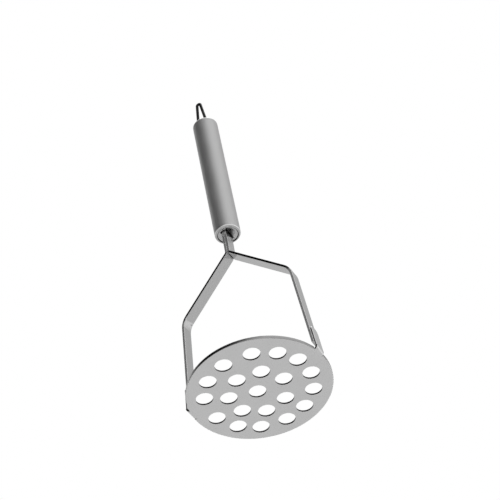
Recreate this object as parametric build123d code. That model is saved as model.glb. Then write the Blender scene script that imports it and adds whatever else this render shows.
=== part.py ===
from build123d import *
from math import asin, atan2, cos, degrees, hypot, radians, sin, sqrt, tan
import os

# A stainless steel potato masher, in millimetres. +Z runs up along the handle and +X to the
# user's right. The origin is the middle of the mashing plate's underside, on the table.

# Mashing plate: a pressed disc with a turned-up rim
PLATE_RADIUS = 40.0
SHEET = 1.0
RIM_HEIGHT = 2.1
RIM_OUTSIDE_BEND = 0.5
RIM_INSIDE_BEND = 0.3

# Holes: one in the middle and two rings, punched by hand, so each has its own bearing
HOLE_RADIUS = 4.8
CENTRE_HOLE = (-1.5, 0.0)
INNER_RING_CENTRE = (-1.5, 1.0)
INNER_RING_RADIUS = 16.2
INNER_RING_BEARINGS = (55, 104, 153, 202, 254, 305, 357)
OUTER_RING_CENTRE = (-0.5, 0.1)
OUTER_RING_RADIUS = 29.7
OUTER_RING_BEARINGS = (10, 36, 63, 89, 118, 143, 171, 206, 232, 260, 292, 319, 344)

# Arms: two flat strips in one plane, a little in front of the plate's middle
ARM_Y = -5.5
STRIP_WIDTH = 7.5
STRIP_THICKNESS = 1.6
STRIP_EDGE = 0.3
NECK_HEIGHT = 100.5
SHOULDER_HALF_WIDTH = 35.6
SHOULDER_HEIGHT = 65.5
NECK_BEND = 1.0
SHOULDER_BEND = 13.0
TANG_DEPTH = 28.0

# Tabs: bent up from the plate, outside the feet of the arms
TAB_HEIGHT = 18.5
TAB_BEND = 3.0
TAB_CORNER = 3.0
TAB_EDGE = 0.4
FOOT_CLEARANCE = 3.3

# Handle: a tube with its ends rolled in round a dished cap, welded on with a slight lean to the left
HANDLE_BOTTOM = 116.8
HANDLE_LENGTH = 100.8
HANDLE_RADIUS = 7.7
HANDLE_WALL = 1.0
HANDLE_END_BEND = 1.5
HANDLE_RIM = 1.6
HANDLE_LEAN = 0.875
LEAN_PIVOT = 164.0
CAP_SHEET = 0.6
CAP_RECESS = 0.4
CAP_LIP = 0.8
CAP_EDGE = 0.35
CAP_DISH = 1.2
CAP_SKIRT = 2.5
SLOT_CLEARANCE = 0.7

# Hanging loop: a hairpin of round wire through the upper cap
TOTAL_HEIGHT = 240.0
WIRE_RADIUS = 0.9
LOOP_SKIRT_GAP = 0.5
LOOP_FORWARD = 0.9
LOOP_TIP_BEND = 1.2
LOOP_SPREAD_SHARE = 0.508
LOOP_LEG_DEPTH = 1.8
WIRE_HOLE_CLEARANCE = 0.25

# Welds: nuggets between two flat pieces, and beads round what comes through a cap
NUGGET_RADIUS = 2.0
NUGGET_THICKNESS = 0.8
TAB_NUGGETS = {"lower": 9.0, "upper": 14.4}
TANG_NUGGETS = {"lower": 8.0, "upper": 20.0}
LOOP_BEAD = 0.9
TANG_BEAD = 1.1
BEAD_SLOPE = 0.6
BEAD_CLEARANCE = 0.1

# A cutter goes right through what it cuts
THROUGH_PLATE = 10.0
THROUGH_CAP = 16.0
# The edges round a strip's cut ends are no longer than this many thicknesses
CUT_END = 1.01
# An edge this far from the Y direction runs across a tab's top corner
ACROSS = 0.5

# The leg's outer face leans in from the plate's edge to the shoulder
LEG_LEAN = atan2(PLATE_RADIUS - SHOULDER_HALF_WIDTH, SHOULDER_HEIGHT)
# The foot stands clear of the inside of the tab's bend
BEND_TOP = SHEET + (TAB_BEND - SHEET) * tan(radians(45) + LEG_LEAN / 2) * cos(LEG_LEAN)
FOOT_HEIGHT = BEND_TOP + FOOT_CLEARANCE
TAB_ROOT_X = PLATE_RADIUS - TAB_BEND
TANG_TOP = HANDLE_BOTTOM + TANG_DEPTH
HANDLE_TOP = HANDLE_BOTTOM + HANDLE_LENGTH
END_RADIUS = HANDLE_RADIUS - HANDLE_RIM
# A bead stays inside the skirt of its cap
BEAD_ROOM = END_RADIUS - CAP_SHEET - BEAD_CLEARANCE
LOOP_LEG_SPREAD = LOOP_SPREAD_SHARE * END_RADIUS
# The left leg of the loop stands just inside the upper cap's skirt
LOOP_LEFT_X = LOOP_SKIRT_GAP + CAP_SHEET + WIRE_RADIUS - END_RADIUS
LOOP_X = LOOP_LEFT_X + LOOP_LEG_SPREAD
LOOP_TOP = LEAN_PIVOT + (TOTAL_HEIGHT - LEAN_PIVOT) / cos(radians(HANDLE_LEAN))


def offset_corner(before, corner, after, distance):
    """The corner of a path moved to its right-hand side, where both its sides are offset."""
    first = Vector(corner[0] - before[0], corner[1] - before[1]).normalized()
    second = Vector(after[0] - corner[0], after[1] - corner[1]).normalized()
    first_side = Vector(first.Y, -first.X)
    second_side = Vector(second.Y, -second.X)
    shift = (first_side + second_side) * (distance / (1 + first_side.dot(second_side)))
    return (corner[0] + shift.X, corner[1] + shift.Y)


def offset_end(end, start, distance, sign):
    """An end of a path moved sideways, square to its last run. sign is -1 at the far end."""
    run = Vector(start[0] - end[0], start[1] - end[1]).normalized() * sign
    return (end[0] + run.Y * distance, end[1] - run.X * distance)


def bent_sheet(corners, bends, thickness, width):
    """A sheet whose left-hand face follows the corners, in the plane of the arms."""
    inside = [offset_end(corners[0], corners[1], thickness, 1)]
    inside_bends = []
    for index, bend in enumerate(bends):
        before, corner, after = corners[index:index + 3]
        inside.append(offset_corner(before, corner, after, thickness))
        turn = (corner[0] - before[0]) * (after[1] - corner[1])
        turn -= (corner[1] - before[1]) * (after[0] - corner[0])
        inside_bends.append(bend - thickness if turn < 0 else bend + thickness)
    inside.append(offset_end(corners[-1], corners[-2], thickness, -1))
    face_line = FilletPolyline(*corners, radius=bends)
    inside_line = FilletPolyline(*inside, radius=inside_bends)
    ends = [Line(corners[0], inside[0]), Line(corners[-1], inside[-1])]
    outline = make_face(face_line.edges() + inside_line.edges() + ends)
    return Pos(0, ARM_Y, 0) * extrude(Plane.XZ * outline, amount=width / 2, both=True)


def soften(solid):
    """The strip with its long edges rounded. The two cut ends stay square."""
    sides = [face.edges() for face in solid.faces().filter_by(Axis.Y)]
    long_edges = [edge for edges in sides for edge in edges if edge.length > CUT_END * STRIP_THICKNESS]
    return fillet(long_edges, STRIP_EDGE)


def leg_face_x(height):
    """How far out the leg's outer face is at a height."""
    return PLATE_RADIUS - height * tan(LEG_LEAN)


def arm():
    """The right-hand strip, from the top of its tang to its foot."""
    corners = [
        (STRIP_THICKNESS, TANG_TOP),
        (STRIP_THICKNESS, NECK_HEIGHT),
        (SHOULDER_HALF_WIDTH, SHOULDER_HEIGHT),
        (leg_face_x(FOOT_HEIGHT), FOOT_HEIGHT),
    ]
    return soften(bent_sheet(corners, [NECK_BEND, SHOULDER_BEND], STRIP_THICKNESS, STRIP_WIDTH))


def round_upright(sheet):
    """The tab with its edges rounded above the bend."""
    reach = 2 * PLATE_RADIUS
    above = Pos(0, 0, BEND_TOP) * Box(2 * reach, reach, reach, align=(Align.CENTER, Align.CENTER, Align.MIN))
    upright = sheet & above
    sides = upright.faces().sort_by(SortBy.AREA)[-2:]
    edges = [edge for face in sides for edge in face.edges() if edge.center().Z > BEND_TOP + TAB_EDGE]
    return fillet(edges, TAB_EDGE) + (sheet - above)


def tab():
    """The right-hand tab, with its bend and the stretch of plate that it starts from."""
    root = PLATE_RADIUS + SHEET / cos(LEG_LEAN)
    top = (root - TAB_HEIGHT * tan(LEG_LEAN), TAB_HEIGHT)
    sheet = bent_sheet([top, (root, 0), (TAB_ROOT_X, 0)], [TAB_BEND], SHEET, STRIP_WIDTH)
    upper = sheet.edges().filter_by_position(Axis.Z, TAB_HEIGHT - SHEET, TAB_HEIGHT + SHEET)
    across = [edge for edge in upper if abs(edge.tangent_at(0).Y) < ACROSS]
    return round_upright(fillet(across, TAB_CORNER))


def nugget(x, height, lean):
    """A weld nugget, half in each of the two sheets that meet at x."""
    disc = Cylinder(NUGGET_RADIUS, NUGGET_THICKNESS)
    return Pos(x, ARM_Y, height) * Rot(0, 90 - degrees(lean), 0) * disc


def tab_nugget(height):
    return nugget(leg_face_x(height), height, LEG_LEAN)


def hole(x, y):
    """A cutter for one hole in the plate."""
    return Pos(x, y, 0) * Cylinder(HOLE_RADIUS, THROUGH_PLATE)


def ring(centre, radius, bearings):
    """Hole cutters on a ring."""
    cutters = []
    for bearing in bearings:
        angle = radians(bearing)
        cutters.append(hole(centre[0] + radius * cos(angle), centre[1] + radius * sin(angle)))
    return cutters


def mirrored(solid):
    """The same shape on the left-hand side."""
    return mirror(solid, Plane.YZ)


def round_corner(face, x, z, radius):
    """A flat outline in the XZ plane with its corner at x, z rounded."""
    corner = face.vertices().sort_by_distance((x, 0, z))[0]
    return fillet(corner, radius)


def plate():
    """The disc with its rim and holes, and its two tabs."""
    inner = PLATE_RADIUS - SHEET
    under = [(0, 0), (PLATE_RADIUS, 0), (PLATE_RADIUS, RIM_HEIGHT)]
    top = [(inner, RIM_HEIGHT), (inner, SHEET), (0, SHEET)]
    half = Plane.XZ * make_face(Polyline(*under, *top, close=True).edges())
    half = round_corner(half, PLATE_RADIUS, 0, RIM_OUTSIDE_BEND)
    half = round_corner(half, inner, SHEET, RIM_INSIDE_BEND)
    disc = revolve(half, Axis.Z)
    reach = TAB_BEND + SHEET
    for side in (1, -1):
        gap = Box(reach, STRIP_WIDTH, THROUGH_PLATE)
        disc -= Pos(side * (TAB_ROOT_X + reach / 2), ARM_Y, 0) * gap
    disc += [tab(), mirrored(tab())]
    disc -= [hole(*CENTRE_HOLE)]
    disc -= ring(INNER_RING_CENTRE, INNER_RING_RADIUS, INNER_RING_BEARINGS)
    disc -= ring(OUTER_RING_CENTRE, OUTER_RING_RADIUS, OUTER_RING_BEARINGS)
    for height in TAB_NUGGETS.values():
        disc -= [tab_nugget(height), mirrored(tab_nugget(height))]
    return disc


def tang_nugget(height):
    return nugget(0, HANDLE_BOTTOM + height, 0)


def strip():
    """The right-hand arm, less the weld metal that it shares with the tab and the other tang."""
    solid = arm()
    solid -= [tab_nugget(height) for height in TAB_NUGGETS.values()]
    solid -= [tang_nugget(height) for height in TANG_NUGGETS.values()]
    return solid


def leaning(solid):
    """A piece of the handle, drawn upright, as it stands on the arms."""
    tilt = Pos(0, ARM_Y, LEAN_PIVOT) * Rot(0, -HANDLE_LEAN, 0) * Pos(0, -ARM_Y, -LEAN_PIVOT)
    return tilt * solid


def handle_tube():
    """The tube, rolled in at both ends."""
    bore = HANDLE_RADIUS - HANDLE_WALL
    half_length = HANDLE_LENGTH / 2
    shoulder = half_length - HANDLE_WALL
    outside = [(END_RADIUS, -half_length), (HANDLE_RADIUS, -half_length)]
    outside += [(HANDLE_RADIUS, half_length), (END_RADIUS, half_length)]
    inside = [(END_RADIUS, shoulder), (bore, shoulder), (bore, -shoulder), (END_RADIUS, -shoulder)]
    half = Plane.XZ * make_face(Polyline(*outside, *inside, close=True).edges())
    for end in (1, -1):
        half = round_corner(half, HANDLE_RADIUS, end * half_length, HANDLE_END_BEND)
        half = round_corner(half, bore, end * shoulder, HANDLE_END_BEND - HANDLE_WALL)
    return Pos(0, ARM_Y, HANDLE_BOTTOM + half_length) * revolve(half, Axis.Z)


def dish(top, radius):
    """A shallow arc from the axis out to a radius, falling by the cap's dish."""
    sphere = (radius ** 2 + CAP_DISH ** 2) / (2 * CAP_DISH)
    middle = radius / 2
    fall = sphere - sqrt(sphere ** 2 - middle ** 2)
    return ThreePointArc((0, top), (middle, top - fall), (radius, top - CAP_DISH))


def cap():
    """A dished cap with a skirt, as it sits in the lower end, with the tube's end at z = 0."""
    lip = END_RADIUS - CAP_LIP
    inner = END_RADIUS - CAP_SHEET
    rim_top = CAP_RECESS + CAP_SHEET
    skirt_top = CAP_RECESS + CAP_SKIRT
    face_top = CAP_RECESS + CAP_DISH
    lower = dish(face_top, lip)
    upper = dish(face_top + CAP_SHEET, lip)
    outside = [(lip, CAP_RECESS), (END_RADIUS, CAP_RECESS), (END_RADIUS, skirt_top)]
    inside = [(inner, skirt_top), (inner, rim_top), (lip, rim_top)]
    middle = Line((0, face_top), (0, face_top + CAP_SHEET))
    half = Plane.XZ * make_face([lower, upper, middle] + Polyline(*outside, *inside).edges())
    half = round_corner(half, END_RADIUS, CAP_RECESS, CAP_EDGE)
    return revolve(half, Axis.Z)


def lower_cap():
    """The cap in the lower end, with an upright slot for the two tangs."""
    slot_x = 2 * STRIP_THICKNESS + 2 * SLOT_CLEARANCE
    slot_y = STRIP_WIDTH + 2 * SLOT_CLEARANCE
    slot = Pos(0, ARM_Y, HANDLE_BOTTOM) * Box(slot_x, slot_y, THROUGH_CAP)
    return leaning(Pos(0, ARM_Y, HANDLE_BOTTOM) * cap()) - slot


def wire_places():
    """Where the two legs of the loop cross the upper end of the handle, before it leans."""
    y = ARM_Y - LOOP_FORWARD
    return [(LOOP_X - LOOP_LEG_SPREAD, y), (LOOP_X + LOOP_LEG_SPREAD, y)]


def upper_cap():
    solid = Pos(0, ARM_Y, HANDLE_TOP) * Rot(180, 0, 0) * cap()
    for x, y in wire_places():
        solid -= Pos(x, y, HANDLE_TOP) * Cylinder(WIRE_RADIUS + WIRE_HOLE_CLEARANCE, THROUGH_CAP)
    return solid


def hanging_loop():
    """Two straight legs and a tight bend, in the plane of the arms."""
    bend_z = LOOP_TOP - WIRE_RADIUS - LOOP_TIP_BEND
    rise = bend_z - HANDLE_TOP
    lean = atan2(LOOP_LEG_SPREAD, rise) - asin(LOOP_TIP_BEND / hypot(LOOP_LEG_SPREAD, rise))
    apex = bend_z + LOOP_TIP_BEND / sin(lean)
    foot = HANDLE_TOP - CAP_RECESS - CAP_DISH - CAP_SHEET - LOOP_LEG_DEPTH
    half_foot = (apex - foot) * tan(lean)
    corners = [(-half_foot, foot), (0, apex), (half_foot, foot)]
    path = Plane.XZ * FilletPolyline(*corners, radius=LOOP_TIP_BEND)
    start = Plane(origin=path @ 0, z_dir=path % 0)
    wire = sweep(start * Circle(WIRE_RADIUS), path=path)
    return Pos(LOOP_X, ARM_Y - LOOP_FORWARD, 0) * wire


def bead_room(height):
    """The space inside a cap's skirt, round the handle's own axis."""
    return leaning(Pos(0, ARM_Y, height) * Cylinder(BEAD_ROOM, THROUGH_CAP))


def tang_bead(arms, under):
    """A bead round the two tangs where they come through the lower cap."""
    wide = 2 * STRIP_THICKNESS + 2 * TANG_BEAD
    deep = STRIP_WIDTH + 2 * TANG_BEAD
    base = HANDLE_BOTTOM + CAP_RECESS + CAP_DISH
    tall = CAP_SHEET + TANG_BEAD
    block = Box(wide, deep, tall, align=(Align.CENTER, Align.CENTER, Align.MIN))
    block = Pos(0, ARM_Y, base) * block
    top = block.faces().sort_by(Axis.Z)[-1]
    block = chamfer(top.edges(), BEAD_SLOPE)
    block &= bead_room(HANDLE_BOTTOM)
    block -= arms
    block -= under
    return block.solids().sort_by(SortBy.VOLUME)[-1]


def loop_bead(place, wire, under):
    """A bead round one leg of the loop, on the inside of the upper cap."""
    base = HANDLE_TOP - CAP_RECESS
    tall = CAP_DISH + CAP_SHEET + LOOP_BEAD
    bead = Cylinder(WIRE_RADIUS + LOOP_BEAD, tall, align=(Align.CENTER, Align.CENTER, Align.MAX))
    bead = Pos(place[0], place[1], base) * bead
    bead = fillet(bead.edges().sort_by(Axis.Z)[0], LOOP_BEAD / 2)
    bead &= bead_room(HANDLE_TOP)
    bead -= wire
    bead -= under
    return bead.solids().sort_by(Axis.Z)[0]


def build():
    """Every separate piece, by its name."""
    right = strip()
    left = mirrored(right)
    bottom = lower_cap()
    top = upper_cap()
    wire = hanging_loop()
    pieces = {
        "mashing_plate": plate(),
        "left_arm": left,
        "right_arm": right,
        "handle_tube": leaning(handle_tube()),
        "lower_cap": bottom,
        "upper_cap": leaning(top),
        "hanging_loop": leaning(wire),
        "tang_bead": tang_bead([left, right], bottom),
    }
    for level, height in TAB_NUGGETS.items():
        pieces["right_" + level + "_weld"] = tab_nugget(height)
        pieces["left_" + level + "_weld"] = mirrored(tab_nugget(height))
    for level, height in TANG_NUGGETS.items():
        pieces["tang_" + level + "_weld"] = tang_nugget(height)
    for side, place in zip(("left", "right"), wire_places()):
        pieces[side + "_loop_bead"] = leaning(loop_bead(place, wire, top))
    return pieces


os.makedirs("parts", exist_ok=True)
for name, solid in build().items():
    solid.label = name
    export_step(solid, "parts/" + name + ".step")
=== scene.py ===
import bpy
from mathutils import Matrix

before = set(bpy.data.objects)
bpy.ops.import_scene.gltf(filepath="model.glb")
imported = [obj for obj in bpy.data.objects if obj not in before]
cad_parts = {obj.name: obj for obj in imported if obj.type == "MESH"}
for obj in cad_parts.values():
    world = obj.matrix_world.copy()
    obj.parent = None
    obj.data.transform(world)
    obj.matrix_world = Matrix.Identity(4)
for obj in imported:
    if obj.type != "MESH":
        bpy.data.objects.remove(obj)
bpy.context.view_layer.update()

# The looks of a stainless steel potato masher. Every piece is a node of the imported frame: it keeps
# its shape and gets a material here, and the plate and the arms get broken edges too.

import math

import bpy
from mathutils import Matrix

MM = 0.001

# ---------------------------------------------------------------- sizes that the materials follow

ARM_Y = -5.5 * MM

# The holes lie inside the first radius, and the rim's outside is beyond the second
HOLES_REACH = 36.5 * MM
RIM_REACH = 39.55 * MM
RIM_BELOW = 2.5 * MM
TABS_BEYOND = 0.9 * RIM_REACH
TAB_HALF_WIDTH = 3.9 * MM

# The handle leans to the left round a point on its axis
HANDLE_BOTTOM = 116.8 * MM
HANDLE_TOP = 217.6 * MM
HANDLE_LEAN = math.radians(0.875)
LEAN_PIVOT = 164.0 * MM

# Distances from the middle of either end of the handle. The first is below zero, so that a patch
# which starts there has no hollow in its middle.
FROM_MIDDLE = -1.0 * MM
# Painted shade darkens the seam groove between the next two distances.
SEAM_FROM = 5.85 * MM
SEAM_TO = 6.3 * MM
SEAM_SOFT = 0.08 * MM
# A painted highlight brightens the ring from the next distance out to SPUN_REACH.
HIGHLIGHT_RING_FROM = 7.45 * MM
SPUN_REACH = 7.75 * MM
HIGHLIGHT_RING_SOFT = 0.06 * MM
SPUN_SOFT = 0.12 * MM

# The slanted shoulders of the arms, and the neck above them, by height
SLANT_FROM = 64.0 * MM
SLANT_FULL_FROM = 67.0 * MM
SLANT_FULL_TO = 99.0 * MM
SLANT_TO = 101.0 * MM
NECK_FROM = 100.0 * MM
NECK_FULL_FROM = 104.0 * MM

# A painted shadow on the tangs under the lower cap; it comes lower down towards the front
PAINTED_SHADOW_FROM = 114.0 * MM
PAINTED_SHADOW_FULL_FROM = 115.6 * MM
PAINTED_SHADOW_SLOPE = 0.53

# A normal's part along an axis that tells the faces apart
UPRIGHT_BELOW = 0.6
FACES_AXIS = 0.8


# ---------------------------------------------------------------- node helpers


class Nodes:
    """A small wrapper that adds and links shader nodes."""

    def __init__(self, tree):
        self.tree = tree
        tree.nodes.clear()

    def add(self, kind, inputs=None, **settings):
        node = self.tree.nodes.new(kind)
        for key, value in settings.items():
            setattr(node, key, value)
        for key, value in (inputs or {}).items():
            self.put(node, key, value)
        return node

    def put(self, node, key, value):
        socket = node.inputs[key]
        if isinstance(value, bpy.types.NodeSocket):
            self.tree.links.new(value, socket)
        else:
            socket.default_value = value

    def math(self, operation, a, b=0.0):
        return self.add("ShaderNodeMath", {0: a, 1: b}, operation=operation).outputs[0]

    def times(self, a, b):
        return self.math("MULTIPLY", a, b)

    def less(self, a, b):
        return self.math("LESS_THAN", a, b)

    def more(self, a, b):
        return self.math("GREATER_THAN", a, b)

    def size(self, a):
        return self.math("ABSOLUTE", a)

    def both(self, first, second):
        """The sum of two signals, each given with its share."""
        return self.math("ADD", self.times(*first), self.times(*second))

    def ramp(self, value, from_low, from_high, to_low, to_high, smooth=False):
        limits = {"From Min": from_low, "From Max": from_high, "To Min": to_low, "To Max": to_high}
        kind = "SMOOTHSTEP" if smooth else "LINEAR"
        node = self.add("ShaderNodeMapRange", {"Value": value, **limits}, interpolation_type=kind)
        return node.outputs["Result"]

    def step(self, value, start, end):
        """A soft step from 0 at the start to 1 at the end."""
        return self.ramp(value, start, end, 0.0, 1.0, smooth=True)

    def turned(self, value, mask, to):
        """The value where the mask is 0, and another where it is 1."""
        return self.ramp(mask, 0.0, 1.0, value, to)

    def scaled(self, value, mask, factor):
        """The value, times a factor where the mask is 1."""
        return self.times(value, self.turned(1.0, mask, factor))

    def noise(self, vector, scale, detail, roughness):
        inputs = {"Vector": vector, "Scale": scale, "Detail": detail, "Roughness": roughness}
        return self.add("ShaderNodeTexNoise", inputs).outputs["Fac"]

    def spread(self, value, low, high):
        """A noise signal stretched to run between two values."""
        return self.ramp(value, NOISE_LOW, NOISE_HIGH, low, high)

    def place(self):
        return self.add("ShaderNodeTexCoord").outputs["Object"]

    def along(self, vector):
        """A vector's parts along X, Y and Z."""
        return self.add("ShaderNodeSeparateXYZ", {0: vector}).outputs

    def facing(self):
        """The parts of the normal along X, Y and Z."""
        return self.along(self.add("ShaderNodeTexCoord").outputs["Normal"])

    def vector(self, operation, output, *inputs):
        numbered = dict(enumerate(inputs))
        return self.add("ShaderNodeVectorMath", numbered, operation=operation).outputs[output]

    def mixed_colour(self, red, green, blue):
        inputs = {"Red": red, "Green": green, "Blue": blue}
        return self.add("ShaderNodeCombineColor", inputs).outputs["Color"]

    def finish(self, shader_inputs):
        shader = self.add("ShaderNodeBsdfPrincipled", shader_inputs)
        self.add("ShaderNodeOutputMaterial", {"Surface": shader.outputs["BSDF"]})


def new_material(name):
    material = bpy.data.materials.new(name)
    material.use_nodes = True
    return material, Nodes(material.node_tree)


# ---------------------------------------------------------------- painted shade, painted highlights and gloss on the steel

# Factors on the colour: below 1 is painted shade, above 1 is a painted highlight. NARROW_GLOSS is a
# roughness, not a colour.
HOLE_WALL_SHADE_TONE = 0.04
RIM_SHADE_TONE = 0.5
SEAM_SHADE_TONE = 0.05
PAINTED_HIGHLIGHT_TONE = 1.5
PAINTED_SHADOW_TONE = 0.03
SLANT_SIDE_SHADE_TONE = 0.25
LEG_SIDE_HIGHLIGHT_TONE = 1.45
NARROW_GLOSS = 0.42


def plate_painted_shade(n, place, tone, roughness):
    """Painted shade: darker on the walls of the holes and on the outside of the rim, away from the
    tabs.
    """
    spot = n.along(place)
    upright = n.less(n.size(n.facing()["Z"]), UPRIGHT_BELOW)
    out = n.vector("LENGTH", "Value", n.vector("MULTIPLY", "Vector", place, (1, 1, 0)))
    walls = n.times(upright, n.less(out, HOLES_REACH))
    beyond = n.times(n.more(out, RIM_REACH), n.less(spot["Z"], RIM_BELOW))
    near_arm = n.less(n.size(n.math("SUBTRACT", spot["Y"], ARM_Y)), TAB_HALF_WIDTH)
    on_tab = n.times(near_arm, n.more(n.size(spot["X"]), TABS_BEYOND))
    rim = n.times(n.times(upright, beyond), n.math("SUBTRACT", 1.0, on_tab))
    # Painted shade: the walls of the holes and the rim's outside are darkened in the colour.
    tone = n.scaled(n.scaled(tone, walls, HOLE_WALL_SHADE_TONE), rim, RIM_SHADE_TONE)
    return tone, roughness


def arm_painted_light_and_gloss(n, place, tone, roughness):
    """Painted shade on the narrow sides of the shoulders, a painted highlight on the narrow sides
    elsewhere, and a painted shadow on the tangs under the cap.
    """
    spot = n.along(place)
    facing = n.facing()
    narrow = n.more(n.size(facing["Y"]), FACES_AXIS)
    wide = n.more(n.size(facing["X"]), FACES_AXIS)
    height = spot["Z"]
    rises = n.step(height, SLANT_FROM, SLANT_FULL_FROM)
    falls = n.ramp(height, SLANT_FULL_TO, SLANT_TO, 1.0, 0.0, smooth=True)
    slant = n.times(rises, falls)
    shaded_slant_sides = n.times(narrow, slant)
    lit_leg_sides = n.times(narrow, n.math("SUBTRACT", 1.0, slant))
    forward = n.math("SUBTRACT", ARM_Y, spot["Y"])
    reach = n.math("ADD", height, n.times(forward, PAINTED_SHADOW_SLOPE))
    patch = n.times(n.step(reach, PAINTED_SHADOW_FROM, PAINTED_SHADOW_FULL_FROM), wide)
    # Painted shadow: the wide faces of the tangs are darkened under the lower cap.
    tone = n.scaled(tone, patch, PAINTED_SHADOW_TONE)
    # Painted shade on the narrow sides of the shoulders, and a painted highlight on the narrow sides
    # of the legs.
    tone = n.scaled(tone, shaded_slant_sides, SLANT_SIDE_SHADE_TONE)
    tone = n.scaled(tone, lit_leg_sides, LEG_SIDE_HIGHLIGHT_TONE)
    neck = n.step(height, NECK_FROM, NECK_FULL_FROM)
    return tone, n.turned(roughness, n.math("MAXIMUM", neck, lit_leg_sides), NARROW_GLOSS)


def handle_end(height):
    """The middle of an end of the handle, on its leaning axis."""
    above = height - LEAN_PIVOT
    return (-above * math.sin(HANDLE_LEAN), ARM_Y, LEAN_PIVOT + above * math.cos(HANDLE_LEAN))


def at_ends(n, place, near, far, soft):
    """1 between two distances from the middle of either end of the handle, and 0 elsewhere."""
    shells = []
    for height in (HANDLE_BOTTOM, HANDLE_TOP):
        away = n.vector("DISTANCE", "Value", place, handle_end(height))
        begins = n.step(away, near - soft, near + soft)
        ends = n.ramp(away, far - soft, far + soft, 1.0, 0.0, smooth=True)
        shells.append(n.times(begins, ends))
    return n.math("MAXIMUM", *shells)


def spun_gloss_and_painted_light(gloss):
    """Marks for the handle: glossy ends, with painted shade in the seam and a painted highlight as a
    bright ring at the rolled edge.
    """

    def marks(n, place, tone, roughness):
        seam = at_ends(n, place, SEAM_FROM, SEAM_TO, SEAM_SOFT)
        painted_highlight_ring = at_ends(n, place, HIGHLIGHT_RING_FROM, SPUN_REACH, HIGHLIGHT_RING_SOFT)
        # Painted shade in the seam, and a painted highlight on the ring at the rolled edge.
        tone = n.scaled(n.scaled(tone, seam, SEAM_SHADE_TONE), painted_highlight_ring, PAINTED_HIGHLIGHT_TONE)
        spun = at_ends(n, place, FROM_MIDDLE, SPUN_REACH, SPUN_SOFT)
        return tone, n.turned(roughness, spun, gloss)

    return marks


def no_marks(n, place, tone, roughness):
    return tone, roughness


# ---------------------------------------------------------------- materials

# Most of a noise signal lies between these
NOISE_LOW = 0.3
NOISE_HIGH = 0.7

BLOTCH_SIZE = 14.0 * MM
SPECK_SIZE = 0.35 * MM
# The fine lines are this many times as fine as the brush lines
FINER = 2.7
ROUGHNESS_SPREAD = 0.05
GRAIN_DEPTH = 0.008 * MM
GRAIN_STRENGTH = 0.5

WELD_PATCH = 1.8 * MM
WELD_RIPPLE = 2.4 * MM
WELD_DEPTH = 0.12 * MM
WELD_ROUGHNESS_SPREAD = 0.08


def steel(name, tone, roughness, grain, depth, tone_spread, marks=no_marks):
    """Satin stainless steel. grain is the size of one brush line along x, y and z."""
    material, n = new_material(name)
    place = n.place()

    def brushed(finer, detail):
        scale = [finer / size for size in grain]
        stretched = n.add("ShaderNodeMapping", {"Vector": place, "Scale": scale}).outputs["Vector"]
        return n.noise(stretched, 1.0, detail, 0.6)

    lines = brushed(1.0, 3.0)
    fine = brushed(FINER, 2.0)
    blotches = n.noise(place, 1 / BLOTCH_SIZE, 3.0, 0.55)
    specks = n.noise(place, 1 / SPECK_SIZE, 2.0, 0.6)

    shade = n.both((lines, 0.5), (blotches, 0.5))
    tone_value = n.spread(shade, tone * (1 - tone_spread), tone * (1 + tone_spread))
    gloss = n.both((fine, 0.6), (blotches, 0.4))
    rough_value = n.spread(gloss, roughness - ROUGHNESS_SPREAD, roughness + ROUGHNESS_SPREAD)
    tone_value, rough_value = marks(n, place, tone_value, rough_value)

    height = n.math("ADD", n.both((lines, 0.6), (fine, 0.3)), n.times(specks, 0.15))
    grain_inputs = {"Strength": GRAIN_STRENGTH, "Distance": GRAIN_DEPTH * depth, "Height": height}
    bump = n.add("ShaderNodeBump", grain_inputs)
    n.finish({
        "Base Color": n.mixed_colour(tone_value, tone_value, tone_value),
        "Metallic": 1.0,
        "Roughness": rough_value,
        "Normal": bump.outputs["Normal"],
    })
    return material


def weld(name, tone, roughness):
    """Dark, rippled weld metal, a little warm in colour."""
    material, n = new_material(name)
    place = n.place()
    patches = n.noise(place, 1 / WELD_PATCH, 4.0, 0.6)
    waves = {"Vector": place, "Scale": 1 / WELD_RIPPLE, "Distortion": 3.0, "Detail": 2.0}
    ripples = n.add("ShaderNodeTexWave", waves, bands_direction="Z").outputs["Fac"]
    red = n.spread(patches, tone * 0.7, tone * 1.15)
    bump = n.add("ShaderNodeBump", {"Strength": 0.6, "Distance": WELD_DEPTH, "Height": ripples})
    least = roughness - WELD_ROUGHNESS_SPREAD
    most = roughness + WELD_ROUGHNESS_SPREAD
    n.finish({
        "Base Color": n.mixed_colour(red, n.times(red, 0.97), n.times(red, 0.94)),
        "Metallic": 1.0,
        "Roughness": n.spread(patches, least, most),
        "Normal": bump.outputs["Normal"],
    })
    return material


ALONG_X = (14 * MM, 0.45 * MM, 0.45 * MM)
ALONG_ARM = (11 * MM, 0.7 * MM, 11 * MM)
ALONG_HANDLE = (0.4 * MM, 0.4 * MM, 16 * MM)
EVEN = (0.5 * MM, 0.5 * MM, 0.5 * MM)
ALONG_WIRE = (0.3 * MM, 0.3 * MM, 5 * MM)

plate_steel = steel("plate_satin", 0.77, 0.22, ALONG_X, 1.0, 0.03, plate_painted_shade)
arm_steel = steel("arm_brushed", 0.63, 0.17, ALONG_ARM, 0.8, 0.05, arm_painted_light_and_gloss)
tube_steel = steel("handle_satin", 0.57, 0.50, ALONG_HANDLE, 1.0, 0.035, spun_gloss_and_painted_light(0.16))
cap_steel = steel("cap_satin", 0.60, 0.22, EVEN, 0.8, 0.03, spun_gloss_and_painted_light(0.18))
# Painted shade: the loop's very dark colour stands in for shade and a dark reflection on the wire.
wire_steel = steel("wire_painted_shade", 0.035, 0.28, ALONG_WIRE, 0.8, 0.1)
weld_metal = weld("weld_metal", 0.05, 0.5)

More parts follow.
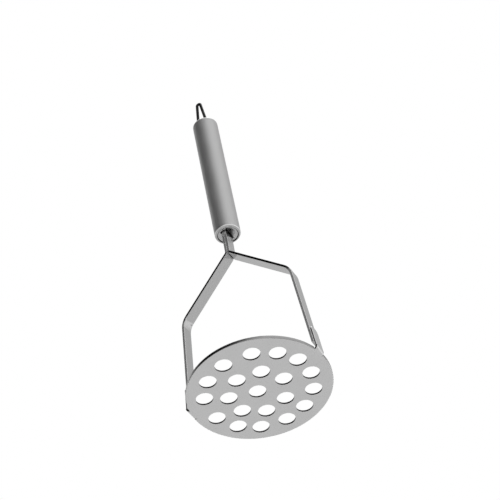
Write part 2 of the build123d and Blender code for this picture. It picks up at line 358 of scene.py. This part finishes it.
MATERIAL_OF_NODE = {
    "mashing_plate": plate_steel,
    "left_arm": arm_steel,
    "right_arm": arm_steel,
    "handle_tube": tube_steel,
    "lower_cap": cap_steel,
    "upper_cap": cap_steel,
    "hanging_loop": wire_steel,
}

for node_name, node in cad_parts.items():
    node.data.materials.clear()
    node.data.materials.append(MATERIAL_OF_NODE.get(node_name, weld_metal))


# ---------------------------------------------------------------- broken edges

PLATE_EDGE = 0.06 * MM
ARM_EDGE = 0.15 * MM
SHARP_FROM = math.radians(35)
SAME_POINT = 0.001 * MM


def break_edges(piece, width):
    """Rounds a CAD piece's sharp edges, as tumbling and polishing do."""
    join = piece.modifiers.new("join", "WELD")
    join.merge_threshold = SAME_POINT
    bevel = piece.modifiers.new("broken_edges", "BEVEL")
    bevel.width = width
    bevel.segments = 3
    bevel.limit_method = "ANGLE"
    bevel.angle_limit = SHARP_FROM
    bevel.harden_normals = True
    bevel.use_clamp_overlap = True


break_edges(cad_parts["mashing_plate"], PLATE_EDGE)
for arm in ("left_arm", "right_arm"):
    break_edges(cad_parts[arm], ARM_EDGE)


# ---------------------------------------------------------------- floor and light

# The camera looks up at the plate, so the floor is below the camera
FLOOR_LEVEL = -1.3
FLOOR_HALF = 30.0


def floor():
    """A plain pale floor."""
    corners = [(-1, -1), (1, -1), (1, 1), (-1, 1)]
    points = [(x * FLOOR_HALF, y * FLOOR_HALF, FLOOR_LEVEL) for x, y in corners]
    mesh = bpy.data.meshes.new("floor")
    mesh.from_pydata(points, [], [(0, 1, 2, 3)])
    piece = bpy.data.objects.new("floor", mesh)
    bpy.context.scene.collection.objects.link(piece)
    material, n = new_material("pale_floor")
    cloud = n.spread(n.noise(n.place(), 1.5, 3.0, 0.5), 0.86, 0.90)
    n.finish({"Base Color": n.mixed_colour(cloud, cloud, cloud), "Roughness": 0.7})
    mesh.materials.append(material)


def bearing(azimuth, elevation):
    """The direction at that azimuth from +X and that elevation, in degrees."""
    a, e = math.radians(azimuth), math.radians(elevation)
    return (math.cos(a) * math.cos(e), math.sin(a) * math.cos(e), math.sin(e))


WHITE = (1.0, 1.0, 1.0, 1.0)
BACKDROP = 1.0
STUDIO = 0.86
# Each direction has the cosines where its patch starts and is full, and the light's value there
FLAG = bearing(-128, 45)
FLAG_PATCH = (0.50, 0.97, 1.0, 0.0)
DIM = bearing(68, 45)
DIM_PATCH = (0.80, 1.0, 1.0, 0.62)
SHADE = bearing(140, 15)
SHADE_PATCH = (0.70, 1.0, 0.0, -0.28)
ABOVE = (0, 0, 1)
ABOVE_PATCH = (0.82, 0.98, 0.0, 1.0)
LIGHT_MAP_SIZE = 512


def studio():
    """Soft light from all round, with three broad dimmer patches and a brighter one overhead.

    The camera sees plain white behind the part.
    """
    world = bpy.data.worlds.new("studio")
    bpy.context.scene.world = world
    world.use_nodes = True
    n = Nodes(world.node_tree)
    way = n.add("ShaderNodeTexCoord").outputs["Generated"]

    def patch(direction, limits):
        return n.ramp(n.vector("DOT_PRODUCT", "Value", way, direction), *limits, smooth=True)

    dimmed = n.times(patch(FLAG, FLAG_PATCH), patch(DIM, DIM_PATCH))
    added = n.math("ADD", patch(SHADE, SHADE_PATCH), patch(ABOVE, ABOVE_PATCH))
    level = n.times(n.math("ADD", dimmed, added), STUDIO)
    light = n.add("ShaderNodeBackground", {"Color": WHITE, "Strength": level})
    back = n.add("ShaderNodeBackground", {"Color": WHITE, "Strength": BACKDROP})
    seen = n.add("ShaderNodeLightPath").outputs["Is Camera Ray"]
    mix = n.add("ShaderNodeMixShader", {0: seen, 1: light.outputs[0], 2: back.outputs[0]})
    n.add("ShaderNodeOutputWorld", {"Surface": mix.outputs[0]})
    world.cycles.sampling_method = "MANUAL"
    world.cycles.sample_map_resolution = LIGHT_MAP_SIZE


floor()
studio()


# ---------------------------------------------------------------- camera

# Azimuth 0 looks from the front, and a negative elevation looks up from below
LOOK_AT = (12.41 * MM, ARM_Y, 96.79 * MM)
CAMERA_DISTANCE = 1.0042
CAMERA_AZIMUTH = math.radians(21.994)
CAMERA_ELEVATION = math.radians(-45.635)
CAMERA_ROLL = math.radians(-11.32)
LENS = 126.74

camera_data = bpy.data.cameras.new("camera")
camera_data.sensor_width = 36.0
camera_data.lens = LENS
camera_data.clip_start = 0.01
camera_data.clip_end = 100.0
camera = bpy.data.objects.new("camera", camera_data)
bpy.context.scene.collection.objects.link(camera)
swing = Matrix.Rotation(CAMERA_AZIMUTH, 4, "Z")
tilt = Matrix.Rotation(math.radians(90) - CAMERA_ELEVATION, 4, "X")
roll = Matrix.Rotation(CAMERA_ROLL, 4, "Z")
back_off = Matrix.Translation((0, 0, CAMERA_DISTANCE))
camera.matrix_world = Matrix.Translation(LOOK_AT) @ swing @ tilt @ roll @ back_off
bpy.context.scene.camera = camera

bpy.context.scene.view_settings.view_transform = "Standard"
bpy.context.scene.view_settings.look = "None"
